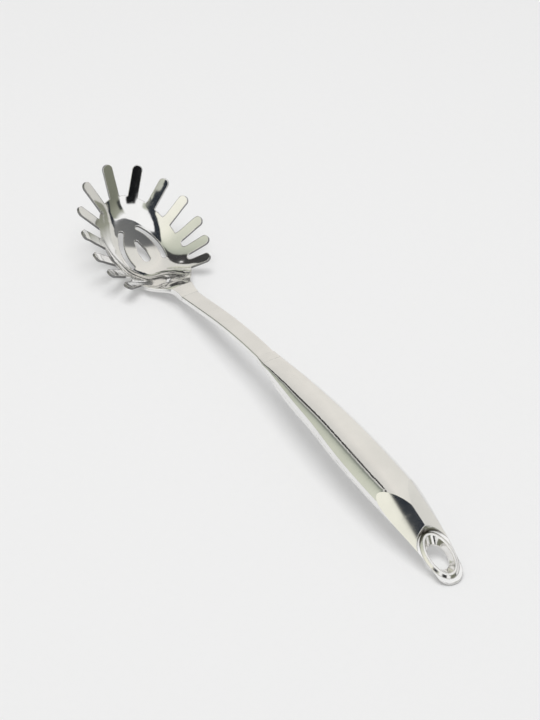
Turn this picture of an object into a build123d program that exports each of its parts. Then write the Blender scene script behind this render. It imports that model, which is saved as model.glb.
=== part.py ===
from build123d import *
from math import atan2, cos, hypot, pi, radians, sin, sqrt, tan
import os

# A pasta server in polished stainless steel, lying on a table as it does when put down: it rests on
# the underside of its bowl and on the tail of its handle. X runs along the tool from the tail of the
# handle to the longest tine, Y is to its left and Z is up. The origin is on the table under the
# middle of the tool.

# Whole tool: the handle, the neck's reach from the handle to the pan's origin, then the head
handle_length = 162.5
neck_reach = 134.02
overrun = 5.0

# Head: an oval pan pressed from sheet, tilted so that its front rises. The pan's own frame has x
# towards the longest tine and z along the pan's axis
pan_tilt = 21.0
pan_origin_height = 0.06
pan_centre_offset = 6.0
pan_floor_height = 4.6
sheet_thickness = 1.4
rim_front_reach = 46.2
rim_rear_reach = 44.0
rim_half_width = 33.3
rim_front_rise = 19.8
rim_side_rise = 17.2
rim_rear_dip = 1.0
rim_heel_rise = 22.5
front_rise_power = 3
heel_rise_power = 24
floor_front_reach = 21.3
floor_rear_reach = 11.0
floor_half_width = 9.5
curved_share = 0.45
pan_surface_rows = 27
pan_surface_columns = 36

# Bowl outline, seen along the pan's axis: a half oval in front, then in to a narrow heel
bowl_front_reach = 33.2
bowl_half_width = 20.6
bowl_rear_reach = 40.0
bowl_rear_length = 51.0
heel_tongue_length = 41.0
heel_outline_shares = [(0.394, 0.865), (0.596, 0.668), (0.706, 0.458), (0.798, 0.315), (0.906, 0.25)]

# Tines, one in front on the middle line and six pairs. Each row of the table is the bearing of the
# tine's tip round the pan's centre and the tine's own heading, both in degrees from the front
tine_width = 5.8
tine_length = 20.0
tine_bearings = [
    (0.0, 0.0),
    (22.8, 34.0),
    (46.1, 61.0),
    (69.8, 72.0),
    (97.0, 88.0),
    (118.6, 100.0),
    (136.9, 110.0),
]
valley_radius = 2.4

# Drain openings in the pan's floor: a drop on the middle line and a crescent on each side
drop_rear_radius = 2.3
drop_middle_radius = 2.6
drop_front_radius = 1.0
drop_rear_offset = 0.9
drop_middle_offset = 3.5
drop_front_offset = 11.0
crescent_width = 2.9
crescent_front_offset = 19.2
crescent_front_half_span = 5.3
crescent_middle_offset = 9.0
crescent_middle_half_span = 9.8
crescent_rear_offset = 3.4
crescent_rear_half_span = 9.8

# Neck: a flat bar with eased edges, level in the handle, bent down to the heel of the pan
neck_width = 10.0
neck_thickness = 3.3
neck_edge_radius = 0.7
neck_bend_angle = 12.0
neck_bend_lead = 2.0
tang_length = 46.0
foot_height = 3.903
foot_from_pan = 28.52
fan_thickness = 1.3
fan_length = 28.5
heel_notch_length = 22.0
heel_notch_depth = 1.7
weld_crown_rise = 0.35

# Handle: two pressed half shells, hollow. Each row of the table is a section: its place as a share of
# the handle's length, its underside and its top as shares of the greatest height, its width as a share
# of the greatest width, and how square the section is. The last section, the mouth round the neck, takes
# its size from the neck
handle_height = 26.4
handle_width = 24.6
shell_thickness = 1.0
neck_height_share = 0.7727
mouth_side_wall = 1.1
mouth_top_wall = 0.65
mouth_bottom_wall = 0.56
mouth_squareness = 4.0
handle_section_shares = [
    (-0.020, 0.055, 0.200, 0.560, 2.4),
    (0.022, 0.000, 0.290, 0.560, 2.3),
    (0.065, 0.055, 0.400, 0.620, 2.2),
    (0.114, 0.180, 0.534, 0.710, 2.1),
    (0.163, 0.273, 0.652, 0.805, 2.1),
    (0.225, 0.318, 0.773, 0.894, 2.1),
    (0.317, 0.358, 0.873, 0.975, 2.1),
    (0.422, 0.392, 0.927, 1.000, 2.1),
    (0.563, 0.443, 0.981, 0.959, 2.2),
    (0.686, 0.503, 1.000, 0.850, 2.4),
    (0.809, 0.523, 0.967, 0.745, 2.7),
    (0.902, 0.581, 0.930, 0.620, 3.2),
    (0.951, 0.640, 0.898, 0.545, 3.7),
]
section_points = 24
tail_round_length = 8.4
tail_round_half_width = 7.5

# Seam weld between the half shells: its height along the handle as shares of the greatest height
seam_width = 1.0
seam_shares = [
    (-0.030, 0.030),
    (0.040, 0.080),
    (0.101, 0.223),
    (0.163, 0.364),
    (0.225, 0.485),
    (0.378, 0.629),
    (0.563, 0.712),
    (0.748, 0.750),
    (0.902, 0.760),
    (1.030, 0.775),
]

# Seat of the hanging hole: a flat cut across the tail, closed by a round scoop in front, and two
# slightly rounded facets that run up from the scoop to the handle's crown. The facets' shares are of
# the greatest half width and height
seat_tilt = 22.3
seat_start_height = 1.33
scoop_centre = 17.3
scoop_radius = 8.9
facet_lead = 0.8
facet_length = 19.5
facet_crest_share = 0.650
facet_crown_shares = (0.374, 0.8205)
facet_flank_shares = (0.6911, 0.4713)
facet_radius = 50.0

# Sleeve of the hanging hole: a standing ring, a funnel and a straight lip through the underside
sleeve_from_tail = 14.15
ring_length = 26.2
ring_width = 15.8
ring_height = 1.1
ring_top_length = 23.4
ring_top_width = 13.4
mouth_length = 21.0
mouth_width = 11.2
lip_length = 13.8
lip_width = 9.2
funnel_depth = 3.2
sleeve_wall = 1.2
sleeve_reach = 12.0

# Tang plug that fills the handle round the tang, and the weld that closes the handle on the neck
plug_from_mouth = 10.0
plug_length = 28.0
collar_length = 6.0
collar_end_step = 0.25
collar_drop = 0.06
collar_squareness = 8.0
cavity_start = 9.0

def oval_reach(bearing, front, rear, half_width):
    """Distance from the pan's centre to an oval made of two half ellipses."""
    along = front if cos(bearing) > 0 else rear
    return 1 / sqrt((cos(bearing) / along) ** 2 + (sin(bearing) / half_width) ** 2)


def wall_lift(share):
    """Height share of the wall: a parabola that runs into a straight slope."""
    steepness = 1 / (2 * curved_share - curved_share**2)
    if share <= 0:
        return 0.0
    if share < curved_share:
        return steepness * share**2
    return steepness * curved_share * (2 * share - curved_share)


def rim_rise(bearing):
    """Rise of the rim over the pan's floor: lowest at the sides, highest at the heel."""
    if cos(bearing) > 0:
        return rim_side_rise + (rim_front_rise - rim_side_rise) * cos(bearing) ** front_rise_power
    dip = rim_rear_dip * sin(2 * bearing) ** 2
    return rim_side_rise - dip + (rim_heel_rise - rim_side_rise) * cos(bearing) ** heel_rise_power


def pan_height(x, y):
    """Height of the pan's inner surface over its own plane."""
    reach = hypot(x - pan_centre_offset, y)
    bearing = atan2(y, x - pan_centre_offset)
    floor_edge = oval_reach(bearing, floor_front_reach, floor_rear_reach, floor_half_width)
    rim_edge = oval_reach(bearing, rim_front_reach, rim_rear_reach, rim_half_width)
    return pan_floor_height + rim_rise(bearing) * wall_lift((reach - floor_edge) / (rim_edge - floor_edge))


def pan_slope(x, y):
    """Slopes of the pan's inner surface along x and y."""
    step = sheet_thickness / 20
    slope_x = (pan_height(x + step, y) - pan_height(x - step, y)) / (2 * step)
    slope_y = (pan_height(x, y + step) - pan_height(x, y - step)) / (2 * step)
    return slope_x, slope_y


def pan_point(x, y, depth):
    """Point of the sheet at a depth below its inner surface, in the pan's frame."""
    slope_x, slope_y = pan_slope(x, y)
    fall = depth / sqrt(1 + slope_x**2 + slope_y**2)
    return Vector(x + fall * slope_x, y + fall * slope_y, pan_height(x, y) - fall)


# The longest tine's outer edge is the tip of the tool
tip_point = pan_point(pan_centre_offset + rim_front_reach, 0, sheet_thickness)
head_reach = tip_point.X * cos(radians(pan_tilt)) - tip_point.Z * sin(radians(pan_tilt))
overall_length = handle_length + neck_reach + head_reach
tail_x = -overall_length / 2
front_x = tail_x + handle_length
pan_x = front_x + neck_reach
pan_plane = Plane(
    origin=(pan_x, 0, pan_origin_height),
    x_dir=(cos(radians(pan_tilt)), 0, sin(radians(pan_tilt))),
    z_dir=(-sin(radians(pan_tilt)), 0, cos(radians(pan_tilt))),
)


def pan_surface(depth):
    """Face of the sheet at a depth below its inner surface, wider than the pan all round."""
    x_low = pan_centre_offset - rim_rear_reach - overrun
    x_high = pan_centre_offset + rim_front_reach + overrun
    y_high = rim_half_width + overrun
    rows = []
    for row in range(pan_surface_rows):
        y = y_high * (2 * row / (pan_surface_rows - 1) - 1)
        row_points = []
        for column in range(pan_surface_columns):
            x = x_low + (x_high - x_low) * column / (pan_surface_columns - 1)
            row_points.append(pan_plane.from_local_coords(pan_point(x, y, depth)))
        rows.append(row_points)
    return Face.make_surface_from_array_of_points(rows)


pan_space_height = 2 * rim_half_width
above_inner = extrude(pan_surface(0), amount=pan_space_height, dir=pan_plane.z_dir)
above_outer = extrude(pan_surface(sheet_thickness), amount=pan_space_height, dir=pan_plane.z_dir)

with BuildPart() as pan_sheet:
    add(above_outer)
    add(above_inner, mode=Mode.SUBTRACT)


def tine_plane(bearing, heading):
    """Plane that touches the wall at the centre of a tine's round end, with x out along the tine."""
    reach = oval_reach(bearing, rim_front_reach, rim_rear_reach, rim_half_width)
    tip = (pan_centre_offset + reach * cos(bearing), reach * sin(bearing))
    slope_x, slope_y = pan_slope(*tip)
    climb = slope_x * cos(heading) + slope_y * sin(heading)
    back = tine_width / 2 / sqrt(1 + climb**2)
    centre = (tip[0] - back * cos(heading), tip[1] - back * sin(heading))
    slope_x, slope_y = pan_slope(*centre)
    climb = slope_x * cos(heading) + slope_y * sin(heading)
    origin = pan_plane.from_local_coords(Vector(centre[0], centre[1], pan_height(*centre)))
    along = pan_plane.from_local_coords(Vector(cos(heading), sin(heading), climb)) - pan_plane.origin
    normal = pan_plane.from_local_coords(Vector(-slope_x, -slope_y, 1)) - pan_plane.origin
    return Plane(origin=origin, x_dir=along, z_dir=normal)


headings = []
for bearing, heading in tine_bearings:
    headings.append((radians(bearing), radians(heading)))
    if bearing > 0:
        headings.insert(0, (-radians(bearing), -radians(heading)))

with BuildPart() as tines:
    for bearing, heading in headings:
        with BuildSketch(tine_plane(bearing, heading)):
            Circle(tine_width / 2)
            with Locations((-tine_length / 2, 0)):
                Rectangle(tine_length, tine_width)
        extrude(amount=2 * sheet_thickness, both=True)
    add(pan_sheet.part, mode=Mode.INTERSECT)


def root_point(bearing, heading, outward):
    """Point of a tine's middle line on the bowl's oval outline, moved outward by a margin."""
    reach = oval_reach(bearing, rim_front_reach, rim_rear_reach, rim_half_width)
    tip_along, tip_across = reach * cos(bearing), reach * sin(bearing)
    for oval_end in (bowl_front_reach, bowl_rear_reach):
        along, across = oval_end + outward, bowl_half_width + outward
        square = (cos(heading) / along) ** 2 + (sin(heading) / across) ** 2
        middle = tip_along * cos(heading) / along**2 + tip_across * sin(heading) / across**2
        rest = (tip_along / along) ** 2 + (tip_across / across) ** 2 - 1
        back = (middle - sqrt(middle**2 - square * rest)) / square
        if (tip_along - back * cos(heading) > 0) == (oval_end == bowl_front_reach):
            break
    return Vector(pan_centre_offset + tip_along - back * cos(heading), tip_across - back * sin(heading))


bowl_rear_x = pan_centre_offset - bowl_rear_length
tongue_x = pan_centre_offset - heel_tongue_length
heel_points = [(pan_centre_offset, bowl_half_width)]
for length_share, width_share in heel_outline_shares:
    heel_points.append((pan_centre_offset - length_share * bowl_rear_length, width_share * bowl_half_width))
heel_points.append((bowl_rear_x, neck_width / 2))

with BuildPart() as bowl_prism:
    with BuildSketch(pan_plane):
        with BuildLine():
            EllipticalCenterArc(
                (pan_centre_offset, 0), bowl_front_reach, bowl_half_width, start_angle=-90, arc_size=180
            )
            Spline(*heel_points, tangents=[(-1, 0), (-1, 0)])
            Line((bowl_rear_x, neck_width / 2), (bowl_rear_x, -neck_width / 2))
            mirrored_points = [(x, -y) for x, y in heel_points]
            Spline(*mirrored_points, tangents=[(-1, 0), (-1, 0)])
        make_face()
    extrude(amount=pan_space_height)
    for left, right in zip(headings, headings[1:]):
        left_root = root_point(*left, valley_radius)
        right_root = root_point(*right, valley_radius)
        with BuildSketch(pan_plane):
            Polygon(
                root_point(*left, -valley_radius),
                left_root,
                right_root,
                root_point(*right, -valley_radius),
                align=None,
            )
            with Locations((left_root + right_root) / 2):
                Circle((left_root - right_root).length / 2 - tine_width / 2, mode=Mode.SUBTRACT)
        extrude(amount=pan_space_height)

with BuildPart() as behind_tongue:
    with BuildSketch(pan_plane):
        with Locations((tongue_x, 0)):
            Rectangle(2 * bowl_half_width, 2 * bowl_half_width, align=(Align.MAX, Align.CENTER))
    extrude(amount=pan_space_height)

with BuildPart() as drain_openings:
    with BuildSketch(pan_plane):
        with Locations((-drop_rear_offset, 0)):
            Circle(drop_rear_radius)
        with Locations((drop_middle_offset, 0)):
            Circle(drop_middle_radius)
        with Locations((drop_front_offset, 0)):
            Circle(drop_front_radius)
        make_hull()
    extrude(amount=pan_space_height)
    for side in (1, -1):
        crescent_line = ThreePointArc(
            (crescent_front_offset, side * crescent_front_half_span),
            (crescent_middle_offset, side * crescent_middle_half_span),
            (-crescent_rear_offset, side * crescent_rear_half_span),
            mode=Mode.PRIVATE,
        )
        with BuildSketch(pan_plane):
            SlotArc(crescent_line, crescent_width)
        extrude(amount=pan_space_height)

with BuildPart() as head:
    add(bowl_prism.part)
    add(behind_tongue.part, mode=Mode.SUBTRACT)
    add(pan_sheet.part, mode=Mode.INTERSECT)
    add(tines.part)
    add(drain_openings.part, mode=Mode.SUBTRACT)

# Neck: a level tang, a bend and a straight run down to the foot under the pan's heel. The bend has
# the radius that runs the level line into the straight one
neck_line_height = neck_height_share * handle_height
neck_bend = radians(neck_bend_angle)
foot_x = pan_x - foot_from_pan
bend_start_x = front_x - neck_bend_lead
bend_corner_x = foot_x - (neck_line_height - foot_height) / tan(neck_bend)
line_bend_radius = (bend_corner_x - bend_start_x) / tan(neck_bend / 2)
bend_end_x = bend_start_x + line_bend_radius * sin(neck_bend)
bend_end_z = neck_line_height - line_bend_radius * (1 - cos(neck_bend))

with BuildPart() as neck_bar:
    with BuildLine() as neck_line:
        Line((front_x - tang_length, 0, neck_line_height), (bend_start_x, 0, neck_line_height))
        ThreePointArc(
            (bend_start_x, 0, neck_line_height),
            (
                bend_start_x + line_bend_radius * sin(neck_bend / 2),
                0,
                neck_line_height - line_bend_radius * (1 - cos(neck_bend / 2)),
            ),
            (bend_end_x, 0, bend_end_z),
        )
        Line((bend_end_x, 0, bend_end_z), (foot_x, 0, foot_height))
    with BuildSketch(Plane(origin=neck_line.line @ 0, x_dir=(0, 1, 0), z_dir=(1, 0, 0))):
        RectangleRounded(neck_width, neck_thickness, neck_edge_radius)
    sweep(path=neck_line.line)

# The bar's end is spread into a fan that hugs the pan's heel from below, as far as the rear tines
fan_x = pan_centre_offset - fan_length
with BuildPart() as fan_space:
    with BuildSketch(pan_plane):
        with Locations((tongue_x, 0)):
            Rectangle(fan_x - tongue_x, 2 * bowl_half_width, align=(Align.MIN, Align.CENTER))
    extrude(amount=pan_space_height)
    add(bowl_prism.part, mode=Mode.INTERSECT)

fan_underside = pan_surface(sheet_thickness + fan_thickness)
above_fan = extrude(fan_underside, amount=pan_space_height, dir=pan_plane.z_dir)
with BuildPart() as heel_fan:
    add(above_fan)
    add(fan_space.part, mode=Mode.INTERSECT)

# The heel weld fills a notch in the bar's top, behind the pan's tongue, and flares to the pan's width
notch_x = foot_x - heel_notch_length
notch_z = foot_height + heel_notch_length * tan(neck_bend) + neck_thickness / 2 / cos(neck_bend)
notch_plane = Plane(
    origin=(notch_x, 0, notch_z),
    x_dir=(cos(neck_bend), 0, -sin(neck_bend)),
    z_dir=(sin(neck_bend), 0, cos(neck_bend)),
)
with BuildPart() as heel_notch:
    with BuildSketch(notch_plane.offset(-heel_notch_depth)):
        Rectangle(overall_length, 2 * bowl_half_width, align=(Align.MIN, Align.CENTER))
    extrude(amount=pan_space_height)

with BuildPart() as behind_pan:
    add(behind_tongue.part)
    add(heel_notch.part, mode=Mode.INTERSECT)

with BuildPart() as ahead_of_tongue:
    add(above_outer)
    add(behind_tongue.part, mode=Mode.SUBTRACT)

with BuildPart() as neck:
    add(neck_bar.part)
    add(heel_fan.part)
    add(behind_pan.part, mode=Mode.SUBTRACT)
    add(ahead_of_tongue.part, mode=Mode.SUBTRACT)

# Heel weld: it fills the notch up to an arc from the neck's top to the pan's inner edge
tongue_top = pan_plane.from_local_coords(Vector(tongue_x, 0, pan_height(tongue_x, 0)))
tongue_bottom = pan_plane.from_local_coords(Vector(tongue_x, 0, 0))
with BuildPart() as heel_weld:
    with BuildSketch(Plane.XZ):
        with BuildLine():
            ThreePointArc(
                (notch_x, notch_z),
                ((notch_x + tongue_top.X) / 2, (notch_z + tongue_top.Z) / 2 + weld_crown_rise),
                (tongue_top.X, tongue_top.Z),
            )
            Polyline(
                (tongue_top.X, tongue_top.Z),
                (tongue_bottom.X, tongue_bottom.Z),
                (notch_x, tongue_bottom.Z),
                (notch_x, notch_z),
            )
        make_face()
    extrude(amount=bowl_half_width, both=True)
    add(heel_notch.part, mode=Mode.INTERSECT)
    add(bowl_prism.part, mode=Mode.INTERSECT)


def section_wire(station, bottom, top, half_width, squareness):
    """Closed smooth section of the handle across the tool at one station."""
    middle = (top + bottom) / 2
    half_height = (top - bottom) / 2
    points = []
    for count in range(section_points):
        turn = 2 * pi * count / section_points
        side = abs(cos(turn)) ** (2 / squareness) * (1 if cos(turn) > 0 else -1)
        rise = abs(sin(turn)) ** (2 / squareness) * (1 if sin(turn) > 0 else -1)
        points.append(Vector(station, side * half_width, middle + rise * half_height))
    return Wire([Edge.make_spline(points, periodic=True)])


handle_sections = []
for station, bottom, top, width, squareness in handle_section_shares:
    handle_sections.append(
        (
            tail_x + station * handle_length,
            bottom * handle_height,
            top * handle_height,
            width * handle_width / 2,
            squareness,
        )
    )
mouth_bottom = neck_line_height - neck_thickness / 2 - mouth_bottom_wall
mouth_top = neck_line_height + neck_thickness / 2 + mouth_top_wall
mouth_section = (front_x, mouth_bottom, mouth_top, neck_width / 2 + mouth_side_wall, mouth_squareness)
handle_sections.append(mouth_section)


def handle_solid(inset):
    """Handle body through its sections, drawn in by an inset all round."""
    faces = []
    for station, bottom, top, half_width, squareness in handle_sections:
        faces.append(
            Face(section_wire(station, bottom + inset, top - inset, half_width - inset, squareness))
        )
    return loft(faces)


# Space of the seat's cuts, in front of the tail: drawn in by an inset, it also shapes the cavity
seat_rise = tan(radians(seat_tilt))


def seat_space(inset):
    """Space over the seat plane, closed in front by the round scoop."""
    with BuildPart() as space:
        with BuildSketch(Plane.XY):
            with Locations((tail_x + scoop_centre, 0)):
                Circle(scoop_radius + inset)
                Rectangle(overall_length, 2 * handle_width, align=(Align.MAX, Align.CENTER))
        extrude(amount=2 * handle_height)
        with BuildSketch(Plane.XZ):
            with BuildLine():
                Polyline(
                    (tail_x - overall_length, seat_start_height - overall_length * seat_rise - inset),
                    (tail_x + overall_length, seat_start_height + overall_length * seat_rise - inset),
                    (tail_x - overall_length, 2 * overall_length),
                    close=True,
                )
            make_face()
        extrude(amount=handle_width, both=True, mode=Mode.INTERSECT)
    return space.part


def facet_plane(side, inset):
    """Plane that touches one facet of the handle's crown, with x along the facet and the tool."""
    crest_x = tail_x + scoop_centre + scoop_radius + facet_lead
    crown_width, crown_height = facet_crown_shares
    flank_width, flank_height = facet_flank_shares
    crest = Vector(crest_x, 0, facet_crest_share * handle_height)
    crown = Vector(
        crest_x + facet_length, side * crown_width * handle_width / 2, crown_height * handle_height
    )
    flank = Vector(crest_x, side * flank_width * handle_width / 2, flank_height * handle_height)
    normal = (crown - crest).cross(flank - crest).normalized()
    if normal.Z < 0:
        normal = normal * -1
    along = Vector(normal.Z, 0, -normal.X)
    return Plane(origin=(crest + flank) / 2 - normal * inset, x_dir=along, z_dir=normal)


def facet_space(side, inset):
    """Space over one facet, which is a strip of a wide cylinder that runs along it."""
    facet = facet_plane(side, inset)
    radius = facet_radius - inset
    with BuildPart() as space:
        with BuildSketch(Plane(origin=facet.origin, x_dir=facet.y_dir, z_dir=facet.x_dir)):
            with Locations((0, -radius)):
                Rectangle(2 * radius, overall_length, align=(Align.CENTER, Align.MIN))
                Circle(radius, mode=Mode.SUBTRACT)
        extrude(amount=handle_length, both=True)
    return space.part


with BuildPart() as tail_plan:
    with BuildSketch(Plane.XY):
        with Locations((tail_x + tail_round_length, 0)):
            Ellipse(tail_round_length, tail_round_half_width)
            Rectangle(handle_length, 2 * handle_width, align=(Align.MIN, Align.CENTER))
    extrude(amount=2 * handle_height)

with BuildPart() as handle_block:
    add(handle_solid(0))
    add(tail_plan.part, mode=Mode.INTERSECT)
    add(seat_space(0), mode=Mode.SUBTRACT)
    for side in (1, -1):
        add(facet_space(side, 0), mode=Mode.SUBTRACT)

# Sleeve of the hanging hole, square to the seat
sleeve_x = tail_x + sleeve_from_tail
sleeve_plane = Plane(
    origin=(sleeve_x, 0, seat_start_height + sleeve_from_tail * seat_rise),
    x_dir=(cos(radians(seat_tilt)), 0, sin(radians(seat_tilt))),
    z_dir=(-sin(radians(seat_tilt)), 0, cos(radians(seat_tilt))),
)

with BuildPart() as sleeve_outside:
    with BuildSketch(sleeve_plane):
        Ellipse(ring_length / 2, ring_width / 2)
    with BuildSketch(sleeve_plane.offset(ring_height)):
        Ellipse(ring_top_length / 2, ring_top_width / 2)
    loft()
    with BuildSketch(sleeve_plane):
        Ellipse(ring_length / 2, ring_width / 2)
    with BuildSketch(sleeve_plane.offset(ring_height - funnel_depth - sleeve_wall)):
        Ellipse(lip_length / 2 + sleeve_wall, lip_width / 2 + sleeve_wall)
    loft()
    with BuildSketch(sleeve_plane.offset(ring_height - funnel_depth)):
        Ellipse(lip_length / 2 + sleeve_wall, lip_width / 2 + sleeve_wall)
    extrude(amount=-sleeve_reach)

with BuildPart() as sleeve_bore:
    with BuildSketch(sleeve_plane.offset(ring_height)):
        Ellipse(mouth_length / 2, mouth_width / 2)
    with BuildSketch(sleeve_plane.offset(ring_height - funnel_depth)):
        Ellipse(lip_length / 2, lip_width / 2)
    loft()
    with BuildSketch(sleeve_plane.offset(ring_height - funnel_depth)):
        Ellipse(lip_length / 2, lip_width / 2)
    extrude(amount=-sleeve_reach)

# The sleeve ends flush with the handle's underside; the ring alone stands over the seat
with BuildPart() as ring_space:
    with BuildSketch(sleeve_plane):
        Rectangle(handle_length, 2 * handle_width)
    extrude(amount=handle_height)
    add(sleeve_outside.part, mode=Mode.INTERSECT)

with BuildPart() as hanging_hole_sleeve:
    add(sleeve_outside.part)
    add(handle_block.part, mode=Mode.INTERSECT)
    add(ring_space.part)
    add(sleeve_bore.part, mode=Mode.SUBTRACT)

# Cavity of the handle and the snug slot that holds the bar in the handle's front end
plug_end_x = front_x - plug_from_mouth
with BuildPart() as cavity:
    add(handle_solid(shell_thickness))
    with BuildSketch(Plane.XY):
        with Locations((plug_end_x, 0)):
            Rectangle(
                plug_end_x - tail_x - cavity_start, 2 * handle_width, align=(Align.MAX, Align.CENTER)
            )
    extrude(amount=2 * handle_height, mode=Mode.INTERSECT)
    add(seat_space(shell_thickness), mode=Mode.SUBTRACT)
    for side in (1, -1):
        add(facet_space(side, shell_thickness), mode=Mode.SUBTRACT)

with BuildPart() as shell_wall:
    add(handle_block.part)
    add(cavity.part, mode=Mode.SUBTRACT)
    add(neck_bar.part, mode=Mode.SUBTRACT)
    add(sleeve_outside.part, mode=Mode.SUBTRACT)

# Seam weld: a band of the wall that runs round the handle between the half shells
seam_points = [(tail_x + share * handle_length, height * handle_height) for share, height in seam_shares]
with BuildPart() as seam_band:
    with BuildSketch(Plane.XZ):
        with BuildLine():
            Spline(*[(x, z - seam_width / 2) for x, z in seam_points])
            Spline(*[(x, z + seam_width / 2) for x, z in seam_points])
            for x, z in (seam_points[0], seam_points[-1]):
                Line((x, z - seam_width / 2), (x, z + seam_width / 2))
        make_face()
    extrude(amount=handle_width, both=True)

with BuildPart() as above_seam:
    with BuildSketch(Plane.XZ):
        with BuildLine():
            Spline(*[(x, z + seam_width / 2) for x, z in seam_points])
            Polyline(
                (seam_points[-1][0], seam_points[-1][1] + seam_width / 2),
                (seam_points[-1][0], 2 * handle_height),
                (seam_points[0][0], 2 * handle_height),
                (seam_points[0][0], seam_points[0][1] + seam_width / 2),
            )
        make_face()
    extrude(amount=handle_width, both=True)

with BuildPart() as handle_upper_shell:
    add(shell_wall.part)
    add(above_seam.part, mode=Mode.INTERSECT)

with BuildPart() as handle_seam_weld:
    add(shell_wall.part)
    add(seam_band.part, mode=Mode.INTERSECT)

with BuildPart() as handle_lower_shell:
    add(shell_wall.part)
    add(above_seam.part, mode=Mode.SUBTRACT)
    add(seam_band.part, mode=Mode.SUBTRACT)

# Tang plug: it fills the cavity round the tang, next to the handle's front end
with BuildPart() as tang_plug:
    with BuildSketch(Plane.XY):
        with Locations((plug_end_x, 0)):
            Rectangle(plug_length, 2 * handle_width, align=(Align.MAX, Align.CENTER))
    extrude(amount=2 * handle_height)
    add(cavity.part, mode=Mode.INTERSECT)
    add(neck_bar.part, mode=Mode.SUBTRACT)

# Neck collar weld: it runs the handle's front end out onto the bar
collar_section = (
    front_x + collar_length,
    neck_line_height - neck_thickness / 2 - collar_end_step - collar_drop,
    neck_line_height + neck_thickness / 2 + collar_end_step - collar_drop,
    neck_width / 2 + collar_end_step,
    collar_squareness,
)
with BuildPart() as neck_collar_weld:
    add(loft([Face(section_wire(*mouth_section)), Face(section_wire(*collar_section))]))
    add(neck_bar.part, mode=Mode.SUBTRACT)

pieces = {
    "head": head,
    "neck": neck,
    "heel_weld": heel_weld,
    "handle_upper_shell": handle_upper_shell,
    "handle_lower_shell": handle_lower_shell,
    "handle_seam_weld": handle_seam_weld,
    "tang_plug": tang_plug,
    "neck_collar_weld": neck_collar_weld,
    "hanging_hole_sleeve": hanging_hole_sleeve,
}
os.makedirs("parts", exist_ok=True)
for label, piece in pieces.items():
    piece.part.label = label
    export_step(piece.part, f"parts/{label}.step")
    print(label, piece.part.bounding_box(), len(piece.part.solids()), piece.part.is_valid)
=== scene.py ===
"""Looks of the pasta server: polished steel on a pale table, under soft studio light."""

import math

import bpy
from mathutils import Matrix, Vector

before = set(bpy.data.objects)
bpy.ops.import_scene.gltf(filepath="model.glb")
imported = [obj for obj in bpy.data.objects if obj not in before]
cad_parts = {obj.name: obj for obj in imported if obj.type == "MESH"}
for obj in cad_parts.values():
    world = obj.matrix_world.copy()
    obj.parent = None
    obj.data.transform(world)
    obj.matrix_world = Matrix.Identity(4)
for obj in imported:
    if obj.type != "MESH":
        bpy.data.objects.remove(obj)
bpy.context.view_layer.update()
scene = bpy.context.scene


class Nodes:
    """A node tree with short calls to add nodes and join them."""

    def __init__(self, tree):
        self.tree = tree
        tree.nodes.clear()

    def add(self, kind, inputs=(), **settings):
        node = self.tree.nodes.new(kind)
        for name, value in settings.items():
            setattr(node, name, value)
        for key, value in dict(inputs).items():
            self.feed(node.inputs[key], value)
        return node

    def feed(self, socket, value):
        if isinstance(value, bpy.types.NodeSocket):
            self.tree.links.new(value, socket)
        else:
            socket.default_value = value

    def math(self, operation, *values):
        node = self.add("ShaderNodeMath", operation=operation)
        for count, value in enumerate(values):
            self.feed(node.inputs[count], value)
        return node.outputs[0]

    def dot(self, vector, axis):
        node = self.add("ShaderNodeVectorMath", operation="DOT_PRODUCT")
        self.feed(node.inputs[0], vector)
        node.inputs[1].default_value = axis
        return node.outputs["Value"]

    def ease(self, value, low, high):
        """0 below low, 1 above high, with a smooth step between them."""
        node = self.add("ShaderNodeMapRange", interpolation_type="SMOOTHSTEP")
        self.feed(node.inputs["Value"], value)
        node.inputs["From Min"].default_value = low
        node.inputs["From Max"].default_value = high
        return node.outputs["Result"]

    def rest(self, value):
        """What is left of 1."""
        return self.math("SUBTRACT", 1.0, value)

    def window(self, value, start, full, fade, end):
        """1 between full and fade, easing to 0 at start and end."""
        return self.math("MULTIPLY", self.ease(value, start, full), self.rest(self.ease(value, fade, end)))

    def ramp(self, value, stops):
        """Colour that runs straight from stop to stop; each stop is a value and its colour."""
        low, high = stops[0][0], stops[-1][0]
        place = self.add("ShaderNodeMapRange")
        self.feed(place.inputs["Value"], value)
        place.inputs["From Min"].default_value = low
        place.inputs["From Max"].default_value = high
        node = self.add("ShaderNodeValToRGB", {"Fac": place.outputs["Result"]})
        elements = node.color_ramp.elements
        for stop, colour in stops[1:-1]:
            elements.new((stop - low) / (high - low)).color = colour
        elements[0].color = stops[0][1]
        elements[-1].color = stops[-1][1]
        return node.outputs["Color"]

    def mix(self, factor, first, second):
        node = self.add("ShaderNodeMix", data_type="RGBA")
        self.feed(node.inputs["Factor"], factor)
        self.feed(node.inputs[6], first)
        self.feed(node.inputs[7], second)
        return node.outputs[2]


def grey(level, warmth=0.0):
    """A colour near grey, yellower where warmth is higher."""
    return (level, level * (1 - 0.15 * warmth), level * (1 - warmth), 1.0)


def shown(red, green, blue):
    """Brightness of the surroundings that the steel shows as this 8-bit colour."""
    levels = [((value / 255 + 0.055) / 1.055) ** 2.4 / 0.85 for value in (red, green, blue)]
    return (*levels, 1.0)


# Lengths and places are in metres. The pan's frame, from the part's source: its centre and tilt
PAN_CENTRE = (0.1316, 0.0, 0.0065)
PAN_TILT = math.radians(21.0)

# Faint dish of the pan's floor, and where the pan's wall starts and is steepest, from the centre
DISH_REACH = 0.018
DISH_SLOPE = 0.055
WALL_START, WALL_FULL = 0.010, 0.034

# Cut edges of the sheet: facing between which a face counts as cut, the painted shade that darkens them
# into a dark outline and its colour, and their roughness
CUT_FACING, SHEET_FACING = 0.30, 0.55
CUT_EDGE_PAINTED_SHADE = 0.85
CUT_EDGE_PAINTED_SHADE_COLOUR = (0.12, 0.12, 0.12, 1.0)
CUT_ROUGHNESS = 0.15
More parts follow.
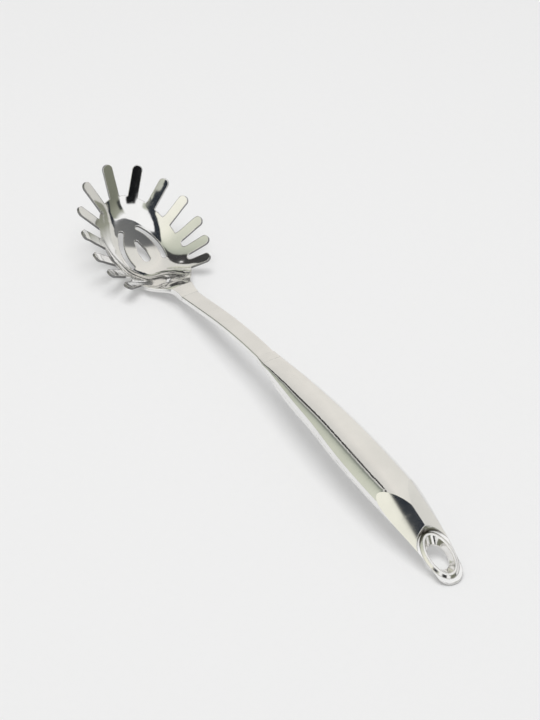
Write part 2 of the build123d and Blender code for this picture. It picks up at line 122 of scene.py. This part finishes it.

# Residue and painted shade in crevices, darkened by ambient occlusion wherever the steel is enclosed: its
# reach, the openness between which it fades, and its colour
RESIDUE_AND_SHADE_REACH = 0.0025
CLOSED, OPEN = 0.45, 0.95
RESIDUE_AND_SHADE_COLOUR = (0.10, 0.085, 0.065, 1.0)

# Hand-ground ripples at the heel and round the handle's mouth: start, full, fade and end along X
HEEL_GRINDING = (0.070, 0.080, 0.096, 0.106)
MOUTH_GRINDING = (-0.034, -0.020, 0.0, 0.010)
GRINDING_DEPTH = 0.0005
GRINDING_SCALE = 110.0

# Rounded look of an edge: one above WIDE_EDGE narrows to NARROW_EDGE over this stretch of X
WIDE_EDGE = 0.001
NARROW_EDGE = 0.0002
NARROWING_START, NARROWING_END = 0.068, 0.074

# Surface textures: scales, and the depth of the finest marks
HAIRLINE_SCALES = (40.0, 900.0, 900.0)
SCRATCH_SCALES = (900.0, 60.0, 300.0)
SMUDGE_SCALE = 55.0
SPECK_SCALE = 900.0
WEAR_START, WEAR_FULL = 0.62, 0.72
WEAR_PALENESS = 0.12
WEAR_ROUGHNESS = 0.05
SMUDGE_SHADE = 0.95
FINE_DEPTH = 0.00001
SHADER_SAMPLES = 8


def steel(name, colour, roughness, grain, edge, residue_and_shade=0.5, is_pan=False):
    """Polished steel: hairlines, smudges, fine wear, residue with painted shade in crevices, and soft
    edges; the pan's floor is faintly dished and its cut edges get painted shade.
    """
    material = bpy.data.materials.new(name)
    material.use_nodes = True
    n = Nodes(material.node_tree)
    place = n.add("ShaderNodeTexCoord").outputs["Object"]
    hairs_space = n.add("ShaderNodeMapping", {"Vector": place, "Scale": HAIRLINE_SCALES})
    hairs = n.add("ShaderNodeTexNoise", {"Vector": hairs_space.outputs[0], "Scale": 1.0, "Detail": 4.0})
    smudges = n.add(
        "ShaderNodeTexNoise",
        {"Vector": place, "Scale": SMUDGE_SCALE, "Detail": 5.0, "Roughness": 0.6},
    )
    specks = n.add("ShaderNodeTexNoise", {"Vector": place, "Scale": SPECK_SCALE, "Detail": 3.0})
    scratches_space = n.add("ShaderNodeMapping", {"Vector": place, "Scale": SCRATCH_SCALES})
    scratches = n.add(
        "ShaderNodeTexNoise",
        {"Vector": scratches_space.outputs[0], "Scale": 1.0, "Detail": 2.0},
    )
    wear = n.ease(scratches.outputs[0], WEAR_START, WEAR_FULL)
    smudged = tuple(SMUDGE_SHADE * c for c in colour[:3]) + (1.0,)
    base = n.mix(n.ease(smudges.outputs[0], 0.35, 0.7), colour, smudged)
    base = n.mix(n.math("MULTIPLY", wear, WEAR_PALENESS), base, grey(0.9))
    dull = n.ease(smudges.outputs[0], 0.3, 0.75)
    rough = n.math("MULTIPLY_ADD", dull, roughness * 0.8, roughness * 0.6)
    rough = n.math("MULTIPLY_ADD", hairs.outputs[0], grain * 0.1, rough)
    rough = n.math("MULTIPLY_ADD", wear, WEAR_ROUGHNESS, rough)
    # Residue and painted shade: the colour darkens towards the residue colour where ambient occlusion finds
    # a crevice
    crevice = n.add("ShaderNodeAmbientOcclusion", {"Distance": RESIDUE_AND_SHADE_REACH}, samples=SHADER_SAMPLES)
    stain_and_shade = n.rest(n.ease(crevice.outputs["AO"], CLOSED, OPEN))
    base = n.mix(n.math("MULTIPLY", stain_and_shade, residue_and_shade), base, RESIDUE_AND_SHADE_COLOUR)
    world_place = n.add("ShaderNodeNewGeometry").outputs["Position"]
    station = n.dot(world_place, (1.0, 0.0, 0.0))
    radius = edge
    if edge > WIDE_EDGE:
        ahead_of_neck = n.ease(station, NARROWING_START, NARROWING_END)
        radius = n.math("MULTIPLY_ADD", ahead_of_neck, NARROW_EDGE - edge, edge)
    bevel = n.add("ShaderNodeBevel", {"Radius": radius}, samples=SHADER_SAMPLES)
    shape = bevel.outputs[0]
    if is_pan:
        from_pan = n.add("ShaderNodeVectorMath", operation="SUBTRACT")
        n.feed(from_pan.inputs[0], world_place)
        from_pan.inputs[1].default_value = PAN_CENTRE
        along = n.dot(from_pan.outputs[0], (math.cos(PAN_TILT), 0.0, math.sin(PAN_TILT)))
        across = n.dot(from_pan.outputs[0], (0.0, 1.0, 0.0))
        square = n.math("ADD", n.math("MULTIPLY", along, along), n.math("MULTIPLY", across, across))
        falloff = n.math("EXPONENT", n.math("MULTIPLY", square, -1 / DISH_REACH**2))
        sag = n.math("MULTIPLY", falloff, -DISH_SLOPE * DISH_REACH)
        dish = n.add("ShaderNodeBump", {"Strength": 1.0, "Distance": 1.0, "Height": sag, "Normal": shape})
        shape = dish.outputs[0]
        distance = n.math("SQRT", square)
        slope = n.math("DIVIDE", n.ease(distance, WALL_START, WALL_FULL), distance)
        inwards = n.math("MULTIPLY", slope, -1.0)
        tilt = n.add(
            "ShaderNodeCombineXYZ",
            {"X": n.math("MULTIPLY", along, inwards), "Y": n.math("MULTIPLY", across, inwards), "Z": 1.0},
        )
        facing = n.add("ShaderNodeVectorMath", operation="NORMALIZE")
        n.feed(facing.inputs[0], tilt.outputs[0])
        turned = n.add(
            "ShaderNodeVectorRotate",
            {"Vector": facing.outputs[0], "Angle": -PAN_TILT},
            rotation_type="Y_AXIS",
        )
        sheet = n.add("ShaderNodeVectorMath", operation="DOT_PRODUCT")
        n.feed(sheet.inputs[0], turned.outputs[0])
        n.feed(sheet.inputs[1], n.add("ShaderNodeNewGeometry").outputs["True Normal"])
        cut = n.rest(n.ease(n.math("ABSOLUTE", sheet.outputs["Value"]), CUT_FACING, SHEET_FACING))
        # Painted shade: the cut edges are darkened in colour to draw a dark outline round the tines
        base = n.mix(n.math("MULTIPLY", cut, CUT_EDGE_PAINTED_SHADE), base, CUT_EDGE_PAINTED_SHADE_COLOUR)
        rough = n.math("MULTIPLY_ADD", cut, CUT_ROUGHNESS, rough)
    at_heel = n.window(station, *HEEL_GRINDING)
    at_mouth = n.window(station, *MOUTH_GRINDING)
    ripples = n.add("ShaderNodeTexNoise", {"Vector": place, "Scale": GRINDING_SCALE, "Detail": 1.0})
    ground_waves = n.math("MULTIPLY", ripples.outputs[0], n.math("MAXIMUM", at_heel, at_mouth))
    hand_ground = n.add(
        "ShaderNodeBump",
        {"Strength": 1.0, "Distance": GRINDING_DEPTH, "Height": ground_waves, "Normal": shape},
    )
    shape = hand_ground.outputs[0]
    fine = n.add(
        "ShaderNodeBump",
        {"Strength": grain, "Distance": FINE_DEPTH, "Height": hairs.outputs[0], "Normal": shape},
    )
    speckled = n.add(
        "ShaderNodeBump",
        {
            "Strength": grain * 0.5,
            "Distance": FINE_DEPTH,
            "Height": specks.outputs[0],
            "Normal": fine.outputs[0],
        },
    )
    shader = n.add(
        "ShaderNodeBsdfPrincipled",
        {"Base Color": base, "Metallic": 1.0, "Roughness": rough, "Normal": speckled.outputs[0]},
    )
    output = n.add("ShaderNodeOutputMaterial")
    n.tree.links.new(shader.outputs[0], output.inputs["Surface"])
    return material


BRIGHT = (0.90, 0.895, 0.885, 1.0)
polished = steel("polished_steel", BRIGHT, roughness=0.07, grain=0.12, edge=0.0003)
eased = steel("polished_bar_steel", BRIGHT, roughness=0.07, grain=0.12, edge=0.0011)
# The sleeve gets the strongest residue and painted shade in its crevices
lined = steel(
    "polished_sleeve_steel", (0.88, 0.87, 0.85, 1.0), roughness=0.09, grain=0.2, edge=0.0005, residue_and_shade=0.92
)
ground = steel("ground_weld_steel", (0.88, 0.875, 0.865, 1.0), roughness=0.12, grain=0.25, edge=0.0002)
pan_steel = steel("polished_pan_steel", BRIGHT, roughness=0.07, grain=0.12, edge=0.0006, is_pan=True)
plain = steel("plain_steel", (0.55, 0.54, 0.52, 1.0), roughness=0.35, grain=0.6, edge=0.0003)
finish_of = {
    "head": pan_steel,
    "neck": eased,
    "heel_weld": ground,
    "handle_upper_shell": polished,
    "handle_lower_shell": polished,
    "handle_seam_weld": ground,
    "tang_plug": plain,
    "neck_collar_weld": ground,
    "hanging_hole_sleeve": lined,
}
for name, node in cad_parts.items():
    node.data.materials.clear()
    node.data.materials.append(finish_of[name])

# Table: a wide pale plane just under the part
floor_mesh = bpy.data.meshes.new("floor")
reach = 6.0
floor_height = -0.0001
floor_mesh.from_pydata(
    [(x, y, floor_height) for x, y in ((-reach, -reach), (reach, -reach), (reach, reach), (-reach, reach))],
    [],
    [(0, 1, 2, 3)],
)
floor = bpy.data.objects.new("floor", floor_mesh)
scene.collection.objects.link(floor)
floor_material = bpy.data.materials.new("floor_paper")
floor_material.use_nodes = True
n = Nodes(floor_material.node_tree)
paper_grain = n.add("ShaderNodeTexNoise", {"Scale": 250.0, "Detail": 4.0})
n.feed(paper_grain.inputs["Vector"], n.add("ShaderNodeTexCoord").outputs["Object"])
paper = n.mix(paper_grain.outputs[0], grey(0.845), grey(0.86))
floor_shader = n.add(
    "ShaderNodeBsdfPrincipled",
    {"Base Color": paper, "Roughness": 0.7, "Specular IOR Level": 0.1},
)
glow_colour = n.mix(paper_grain.outputs[0], grey(0.860), grey(0.866))
glow = n.add("ShaderNodeEmission", {"Color": glow_colour, "Strength": 1.0})
path = n.add("ShaderNodeLightPath").outputs
mirrored = n.math("MAXIMUM", path["Is Glossy Ray"], path["Is Transmission Ray"])
seen = n.math("MAXIMUM", path["Is Camera Ray"], mirrored)
glow_share = 0.2
table = n.add("ShaderNodeMixShader", {"Fac": n.math("MULTIPLY", seen, glow_share)})
n.tree.links.new(floor_shader.outputs[0], table.inputs[1])
n.tree.links.new(glow.outputs[0], table.inputs[2])
n.tree.links.new(table.outputs[0], n.add("ShaderNodeOutputMaterial").inputs["Surface"])
floor.data.materials.append(floor_material)

# Surroundings: a pale tent with a cream side, a white back with dark things in front of it, and the
# dark arch that polished steel shows between the tent and the back. Bearings run from +X towards +Y
world = bpy.data.worlds.new("studio")
scene.world = world
world.use_nodes = True
n = Nodes(world.node_tree)
direction = n.add("ShaderNodeTexCoord").outputs["Generated"]
parts = n.add("ShaderNodeSeparateXYZ", {"Vector": direction})
left_part = parts.outputs["Y"]
degrees = 180 / math.pi
bearing = n.math("MULTIPLY", n.math("ARCTAN2", left_part, parts.outputs["X"]), degrees)
climb = n.math("MULTIPLY", n.math("ARCSINE", parts.outputs["Z"]), degrees)
on_left = n.ease(left_part, -0.05, 0.05)
on_right = n.rest(on_left)
cream = n.ramp(
    bearing,
    [
        (20.0, shown(120, 124, 118)),
        (27.0, shown(135, 139, 130)),
        (32.0, shown(166, 170, 158)),
        (45.0, shown(187, 190, 176)),
        (62.0, shown(202, 204, 190)),
        (80.0, shown(229, 228, 215)),
        (98.0, shown(234, 233, 222)),
    ],
)
tent = n.ramp(
    bearing,
    [
        (-110.0, shown(196, 195, 190)),
        (-80.0, shown(205, 204, 199)),
        (-55.0, shown(216, 214, 208)),
        (-36.0, shown(219, 216, 210)),
        (-15.0, shown(206, 204, 199)),
        (10.0, shown(203, 202, 197)),
    ],
)
sky = n.mix(n.ease(bearing, 14.0, 22.0), tent, cream)
olive = n.ramp(
    climb,
    [
        (5.0, shown(112, 114, 102)),
        (20.0, shown(128, 130, 116)),
        (45.0, shown(150, 152, 140)),
        (65.0, shown(239, 239, 239)),
    ],
)
back = n.mix(n.window(bearing, -180.0, -170.0, -112.0, -104.0), shown(239, 239, 239), olive)
pillar_across = n.window(bearing, -179.0, -176.0, -166.0, -156.0)
pillar_up = n.window(climb, 10.0, 18.0, 38.0, 46.0)
back = n.mix(n.math("MULTIPLY", pillar_across, pillar_up), back, shown(60, 62, 60))
block_across = n.window(bearing, 136.0, 141.0, 158.0, 163.0)
back = n.mix(n.math("MULTIPLY", block_across, n.rest(n.ease(climb, 24.0, 29.0))), back, shown(14, 15, 16))
post_across = n.window(bearing, 110.0, 114.0, 124.0, 128.0)
back = n.mix(n.math("MULTIPLY", post_across, n.rest(n.ease(climb, 30.0, 36.0))), back, shown(178, 180, 168))

# The arch is a slanted ring; its right leg lies a little aside and is hazy in its middle
arch_axis = (1.0, 0.05, -0.75)
arch_offset = 0.68
right_leg_shift = -0.015
right_leg_haze = -0.25
across_arch = n.math("ADD", n.dot(direction, arch_axis), arch_offset)
across_arch = n.math("MULTIPLY_ADD", on_right, right_leg_shift, across_arch)
sky = n.mix(n.rest(n.ease(across_arch, -0.08, 0.02)), sky, back)
arch = n.rest(n.ease(n.math("ABSOLUTE", across_arch), 0.075, 0.095))
arch = n.math("MULTIPLY", arch, n.math("MAXIMUM", n.ease(climb, 22.0, 27.0), on_right))
haze = n.math("MULTIPLY", n.window(climb, 30.0, 60.0, 62.0, 80.0), on_right)
arch = n.math("MULTIPLY", arch, n.math("MULTIPLY_ADD", haze, right_leg_haze, 1.0))
sky = n.mix(arch, sky, shown(44, 48, 54))

# The lighting itself is neutral: rays that light the table and the part meet an even grey
sky = n.mix(n.add("ShaderNodeLightPath").outputs["Is Diffuse Ray"], sky, grey(0.54))
background = n.add("ShaderNodeBackground", {"Color": sky, "Strength": 1.0})
n.tree.links.new(background.outputs[0], n.add("ShaderNodeOutputWorld").inputs["Surface"])

# Narrow dark board beyond the head: only the steel shows it, as the dark line along the handle
board_x = 0.31
board_right, board_left = 0.015, 0.09
board_foot, board_top = 0.09, 1.0
board_mesh = bpy.data.meshes.new("board")
board_mesh.from_pydata(
    [
        (board_x, board_right, board_foot),
        (board_x, board_left, board_foot),
        (board_x, board_left, board_top),
        (board_x, board_right, board_top),
    ],
    [],
    [(0, 1, 2, 3)],
)
board = bpy.data.objects.new("board", board_mesh)
scene.collection.objects.link(board)
board_material = bpy.data.materials.new("board_felt")
board_material.use_nodes = True
n = Nodes(board_material.node_tree)
felt_grain = n.add("ShaderNodeTexNoise", {"Scale": 120.0, "Detail": 3.0})
n.feed(felt_grain.inputs["Vector"], n.add("ShaderNodeTexCoord").outputs["Object"])
felt = n.mix(felt_grain.outputs[0], grey(0.05), grey(0.08))
board_shader = n.add(
    "ShaderNodeBsdfPrincipled",
    {"Base Color": felt, "Roughness": 0.9, "Specular IOR Level": 0.1},
)
n.tree.links.new(board_shader.outputs[0], n.add("ShaderNodeOutputMaterial").inputs["Surface"])
board.data.materials.append(board_material)
board.visible_camera = False
board.visible_diffuse = False
board.visible_shadow = False

# Key light: a wide soft box straight above, which the steel doesn't show
lamp = bpy.data.lights.new("softbox", "AREA")
lamp.shape = "DISK"
lamp.size = 1.3
lamp.energy = 17.0
softbox = bpy.data.objects.new("softbox", lamp)
scene.collection.objects.link(softbox)
softbox.location = (0.0, 0.05, 1.8)
softbox.rotation_mode = "QUATERNION"
softbox.rotation_quaternion = (Vector((0.0, 0.0, 0.0)) - softbox.location).to_track_quat("-Z", "Y")
softbox.visible_glossy = False

# Camera at the photograph's place
camera_data = bpy.data.cameras.new("camera")
camera_data.sensor_width = 36.0
camera_data.lens = 110.0
camera_data.clip_start = 0.05
camera_data.clip_end = 50.0
camera = bpy.data.objects.new("camera", camera_data)
scene.collection.objects.link(camera)
camera_place = (-0.74301, 0.45823, 0.72733)
right = Vector((-0.52718, -0.84976, 0.0))
forward = Vector((0.65945, -0.40912, -0.63068)).normalized()
up = right.cross(forward).normalized()
right = forward.cross(up)
camera.matrix_world = Matrix.Translation(camera_place) @ Matrix(
    (
        (right.x, up.x, -forward.x, 0.0),
        (right.y, up.y, -forward.y, 0.0),
        (right.z, up.z, -forward.z, 0.0),
        (0.0, 0.0, 0.0, 1.0),
    )
)
scene.camera = camera
scene.view_settings.view_transform = "Standard"
